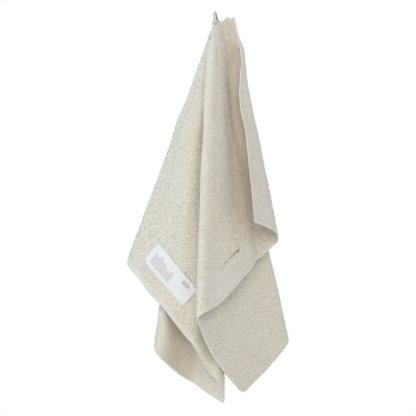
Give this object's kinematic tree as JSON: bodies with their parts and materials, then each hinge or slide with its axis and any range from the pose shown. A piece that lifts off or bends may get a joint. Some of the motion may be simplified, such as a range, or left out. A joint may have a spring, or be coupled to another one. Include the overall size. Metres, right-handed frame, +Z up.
{
  "type": "hand towel",
  "caption": "Cream terry hand towel hanging in folds from a tape loop sewn to one long edge, with a bare woven label patch on the front.",
  "frame": {"origin": "the point inside the top of the hanging loop that a hook would carry", "axes": "+Z up, the towel hanging down along -Z; the front with the label faces -Y; +X to the viewer's right"},
  "size_m": [0.2722, 0.2514, 0.6462],
  "materials": {
    "terry": "matte undyed cream terry, coarse loops on the front face and finer ones on the back",
    "tape": "matte flat-woven cream tape",
    "label": "smooth white woven satin"
  },
  "bodies": {
    "root": {"towel": "terry", "hanging_loop": "tape", "label_patch": "label"}
  },
  "joints": []
}
